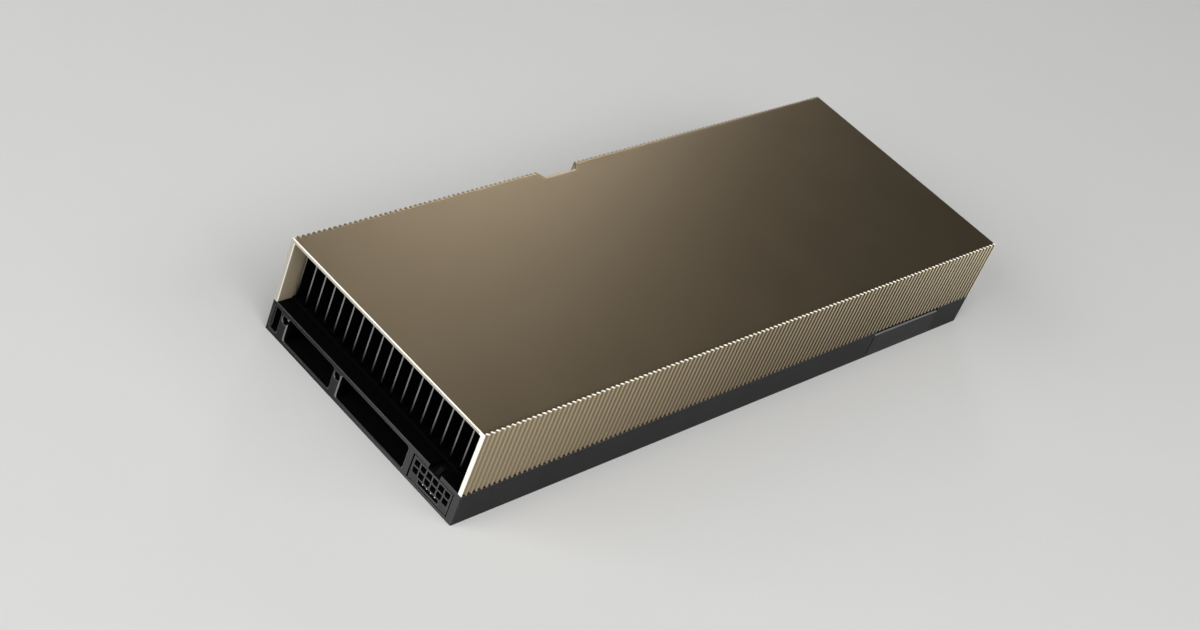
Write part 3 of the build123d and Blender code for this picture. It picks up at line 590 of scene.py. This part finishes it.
def joined(parts):
    """Several surfaces as one set of points and faces."""
    points, faces, count = [], [], 0
    for part_points, part_faces in parts:
        points.append(part_points)
        faces += [[corner + count for corner in face] for face in part_faces]
        count += len(part_points)
    return np.concatenate(points), faces


def ramp(tree, factor, stops):
    """Colours along a factor, one at each stop."""
    node = add_node(tree, "ValToRGB", {"Fac": factor})
    elements = node.color_ramp.elements
    for element, (place, colour) in zip(elements, (stops[0], stops[-1])):
        element.position, element.color = place, (*colour, 1)
    for place, colour in stops[1:-1]:
        elements.new(place).color = (*colour, 1)
    return node.outputs["Color"]


def paint_flute_light_and_shade(material, crest, groove):
    """Painted light and shade on both fluted sides: pale crests as a painted highlight and darker flutes as painted
    shade, by the cosine of the place in the pitch. Each takes its own colours along the length, the flutes darker and
    the crests paler towards the bracket end, and the crests darker towards the foot of the ribs, as painted shade.
    The near side's rounded lip takes a painted highlight."""
    tree = material.node_tree
    pale_from, pale_to, pale_at_foot = 0.42, 0.92, 0.55
    lip_tilt, flat_tilt = 0.12, 0.985
    place = add_node(tree, "SeparateXYZ", {0: add_node(tree, "TexCoord").outputs["Object"]}).outputs
    phase = calc(tree, "MULTIPLY", calc(tree, "SUBTRACT", place["X"], cad_low.x), 2 * math.pi / (rib_pitch * mm))
    crown = calc(tree, "MULTIPLY_ADD", calc(tree, "COSINE", phase), 0.5, 0.5)
    pale = add_node(tree, "MapRange", {"Value": crown, "From Min": pale_from, "From Max": pale_to},
                    interpolation_type="SMOOTHSTEP").outputs["Result"]
    height = rising(tree, "Z", frame_high.z, cad_high.z)
    pale = calc(tree, "MULTIPLY", pale, calc(tree, "MULTIPLY_ADD", height, 1 - pale_at_foot, pale_at_foot))
    side = calc(tree, "GREATER_THAN", calc(tree, "ABSOLUTE", place["Y"]), -cad_low.y - (rib_depth + lip) * mm)
    along = rising(tree, "X", cad_low.x, cad_high.x)
    # Painted highlight on the crests and painted shade in the flutes.
    overlay(material, side, blend(tree, pale, ramp(tree, along, groove), ramp(tree, along, crest)))
    overlay(material, tilted_up(tree, lip_tilt, 2.0), top_gold)
    # Painted highlight on the near side's rounded lip.
    near_lip_glint = calc(tree, "MULTIPLY", calc(tree, "LESS_THAN", place["Y"], 0.0), tilted_up(tree, lip_tilt, flat_tilt))
    overlay(material, near_lip_glint, (0.95, 0.88, 0.72), 0.4)


def matt_inside(material, colour):
    """The duct's walls and roof: paler and without gloss, as the blasting reaches them but the polish doesn't."""
    skim = 0.05
    low = cad_low + Vector((-1, wall - skim, -1)) * mm
    high = Vector((cad_high.x, -cad_low.y, cad_high.z)) - Vector((-1, wall - skim, roof - skim)) * mm
    overlay(material, inside_box(material.node_tree, low, high), colour, 0.6, 0.3)


def paint_near_rim_highlight(material, cut, colour):
    """A painted highlight on the near side's part of a cut rim, brighter than the rest of it, up to just past that
    wall's inner face.
    """
    tree = material.node_tree
    post_end, past_post = cad_low.y + 2.4 * mm, cad_low.y + 2.6 * mm
    post = calc(tree, "SUBTRACT", 1.0, rising(tree, "Y", post_end, past_post))
    overlay(material, calc(tree, "MULTIPLY", cut, post), colour, 0.4, 0.2)


def lugs():
    """All lugs of the shroud, as closed blocks that reach into its side walls."""
    z1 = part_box("base_frame")[1][2] / mm + lug_rise
    z0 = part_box("circuit_board")[0][2] / mm
    half_width = -cad_low.y / mm
    parts = []
    for side, places in ((-1, near_lugs), (1, far_lugs)):
        for place in places:
            x, y = cad_low.x / mm + place, side * (half_width - lug_centre)
            parts.append(lug_surface(x, y, z0, z1, lug_half_x, lug_half_y, lug_hole, z0 + lug_hole_height))
    return parts


top_gold = (0.43, 0.335, 0.212)
# Painted light and shade of the flutes along the length: lit crest colours and shaded groove colours, from the power
# end to the bracket end.
lit_crest_gold = ((0.0, (0.57, 0.47, 0.315)), (0.5, (0.50, 0.41, 0.275)),
              (0.75, (0.68, 0.57, 0.395)), (1.0, (1.0, 0.87, 0.62)))
shaded_groove_gold = ((0.0, (0.32, 0.257, 0.17)), (0.5, (0.125, 0.097, 0.062)),
               (0.75, (0.05, 0.039, 0.024)), (1.0, (0.07, 0.055, 0.034)))
champagne = skin_material("champagne_anodised", top_gold, 0.36, 1.0, 6000, 0.06)
paint_flute_light_and_shade(champagne, lit_crest_gold, shaded_groove_gold)
matt_inside(champagne, (0.55, 0.46, 0.32))
# The cut rims: bare cut metal, much of their brightness a painted highlight, and the near part more so.
cut_and_lit_rim = cut_ends_and_highlight(champagne, cad_high.x - rim_inner * mm - cut_depth, (0.98, 0.93, 0.82), 0.4, 0.55, 0.5)
paint_near_rim_highlight(champagne, cut_and_lit_rim, (1.0, 0.97, 0.90))
shroud = add_mesh("fluted_shroud", *joined([shroud_surface(), *lugs()]), champagne, "gold_shroud")
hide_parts("shroud")


# Floor, light and camera: pale paper under the card, four soft studio lamps, and a small panel behind the card for
# the sheen on its top. The camera's place, turn and lens follow from the photograph's vanishing lines and the
# card's real length.

floor_size = 4.0
floor_mesh = bpy.data.meshes.new("floor")
floor_mesh.from_pydata([(-floor_size, -floor_size, 0), (floor_size, -floor_size, 0), (floor_size, floor_size, 0),
                        (-floor_size, floor_size, 0)], [], [(0, 1, 2, 3)])
floor = bpy.data.objects.new("floor", floor_mesh)
bpy.context.scene.collection.objects.link(floor)
floor_mesh.materials.append(skin_material("floor_paper", (0.70, 0.70, 0.69), 0.8, grains=400, clouding=0.02,
                                          specular=0.2))

world = bpy.data.worlds.new("studio")
world.use_nodes = True
world.node_tree.nodes["Background"].inputs["Color"].default_value = (0.04, 0.04, 0.04, 1)
bpy.context.scene.world = world


def soft_light(name, place, size, power):
    """A large lamp at a place, as wide and high as given, turned to the origin."""
    lamp = bpy.data.lights.new(name, "AREA")
    lamp.shape = "RECTANGLE"
    lamp.size, lamp.size_y = size
    lamp.energy = power
    light = bpy.data.objects.new(name, lamp)
    light.location = place
    light.rotation_euler = (-Vector(place)).to_track_quat("-Z", "Y").to_euler()
    bpy.context.scene.collection.objects.link(light)


soft_light("key", (-0.9, -1.1, 1.4), (1.6, 1.6), 12.5)
soft_light("front_strip", (0.34, -1.26, 1.09), (2.0, 0.8), 10)
soft_light("overhead", (-0.6, -0.5, 2.3), (1.8, 1.8), 16)
soft_light("end_light", (-2.0, 0.4, 0.95), (2.4, 1.5), 40)
soft_light("back_panel", (1.001, 0.964, 0.564), (0.28, 0.35), 1.75)

bpy.context.scene.view_settings.view_transform = "Standard"

camera_data = bpy.data.cameras.new("camera")
camera_data.sensor_width = 36
camera_data.lens = 65.288
camera_data.clip_start = 0.01
camera = bpy.data.objects.new("camera", camera_data)
right = Vector((0.6958, -0.6461, 0.3138)).normalized()
back = Vector((-0.6780, -0.4465, 0.5839)).normalized()
up = back.cross(right).normalized()
right = up.cross(back)
turn = Matrix((right, up, back)).transposed().to_4x4()
camera.matrix_world = Matrix.Translation((-0.54159, -0.33939, 0.45612)) @ turn
bpy.context.scene.collection.objects.link(camera)
bpy.context.scene.camera = camera
